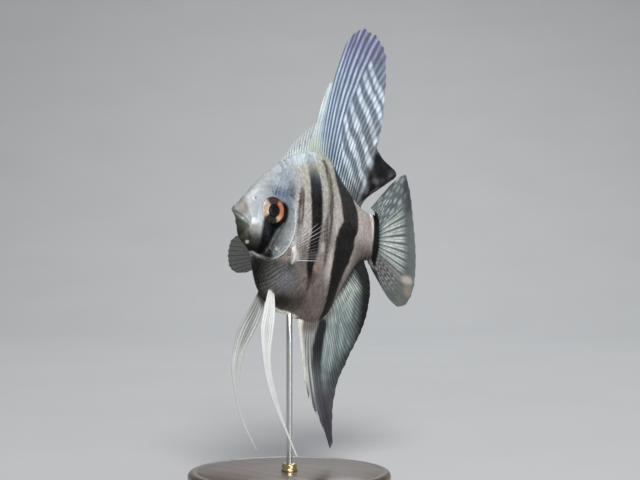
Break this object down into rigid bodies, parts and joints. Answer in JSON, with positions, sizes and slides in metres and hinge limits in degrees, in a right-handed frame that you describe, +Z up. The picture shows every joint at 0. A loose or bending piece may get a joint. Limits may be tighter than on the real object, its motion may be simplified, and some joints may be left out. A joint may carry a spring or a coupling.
{
  "type": "freshwater angelfish display model",
  "caption": "Life-size freshwater angelfish, nose a little up, with tall flowing fins, held on a slim rod above a round turned base.",
  "frame": {"origin": "centre of the underside of the stand's base", "axes": "+Z up; the fish faces -X, nose tipped up a little; its left side faces -Y"},
  "size_m": [0.1269, 0.088, 0.2047],
  "materials": {
    "body_skin": "wet silver scales with black upright bars",
    "lip_skin": "satin bare skin",
    "eye": "clear wet cornea over a copper iris",
    "tall_fin": "satin rays and thin membrane, blue-silver",
    "tail_fin": "satin rays and thin membrane, grey-green",
    "clear_fin": "clear membrane with fine pale rays",
    "white_fin": "opaque milky white",
    "stand_wood": "dark turned wood, satin lacquer",
    "stand_metal": "fine brushed"
  },
  "bodies": {
    "root": {"head": "body_skin", "upper_jaw": "lip_skin", "lower_jaw": "lip_skin", "gill_cover_left": "body_skin", "gill_cover_right": "body_skin", "trunk": "body_skin", "tail_base": "body_skin", "eye_left": "eye", "eye_right": "eye", "dorsal_fin": "tall_fin", "anal_fin": "tall_fin", "caudal_fin": "tail_fin", "pectoral_fin_left": "clear_fin", "pectoral_fin_right": "clear_fin", "pelvic_fin_left": "white_fin", "pelvic_fin_right": "white_fin", "stand_base": "stand_wood", "stand_collar": "stand_metal", "stand_rod": "stand_metal"}
  },
  "joints": []
}
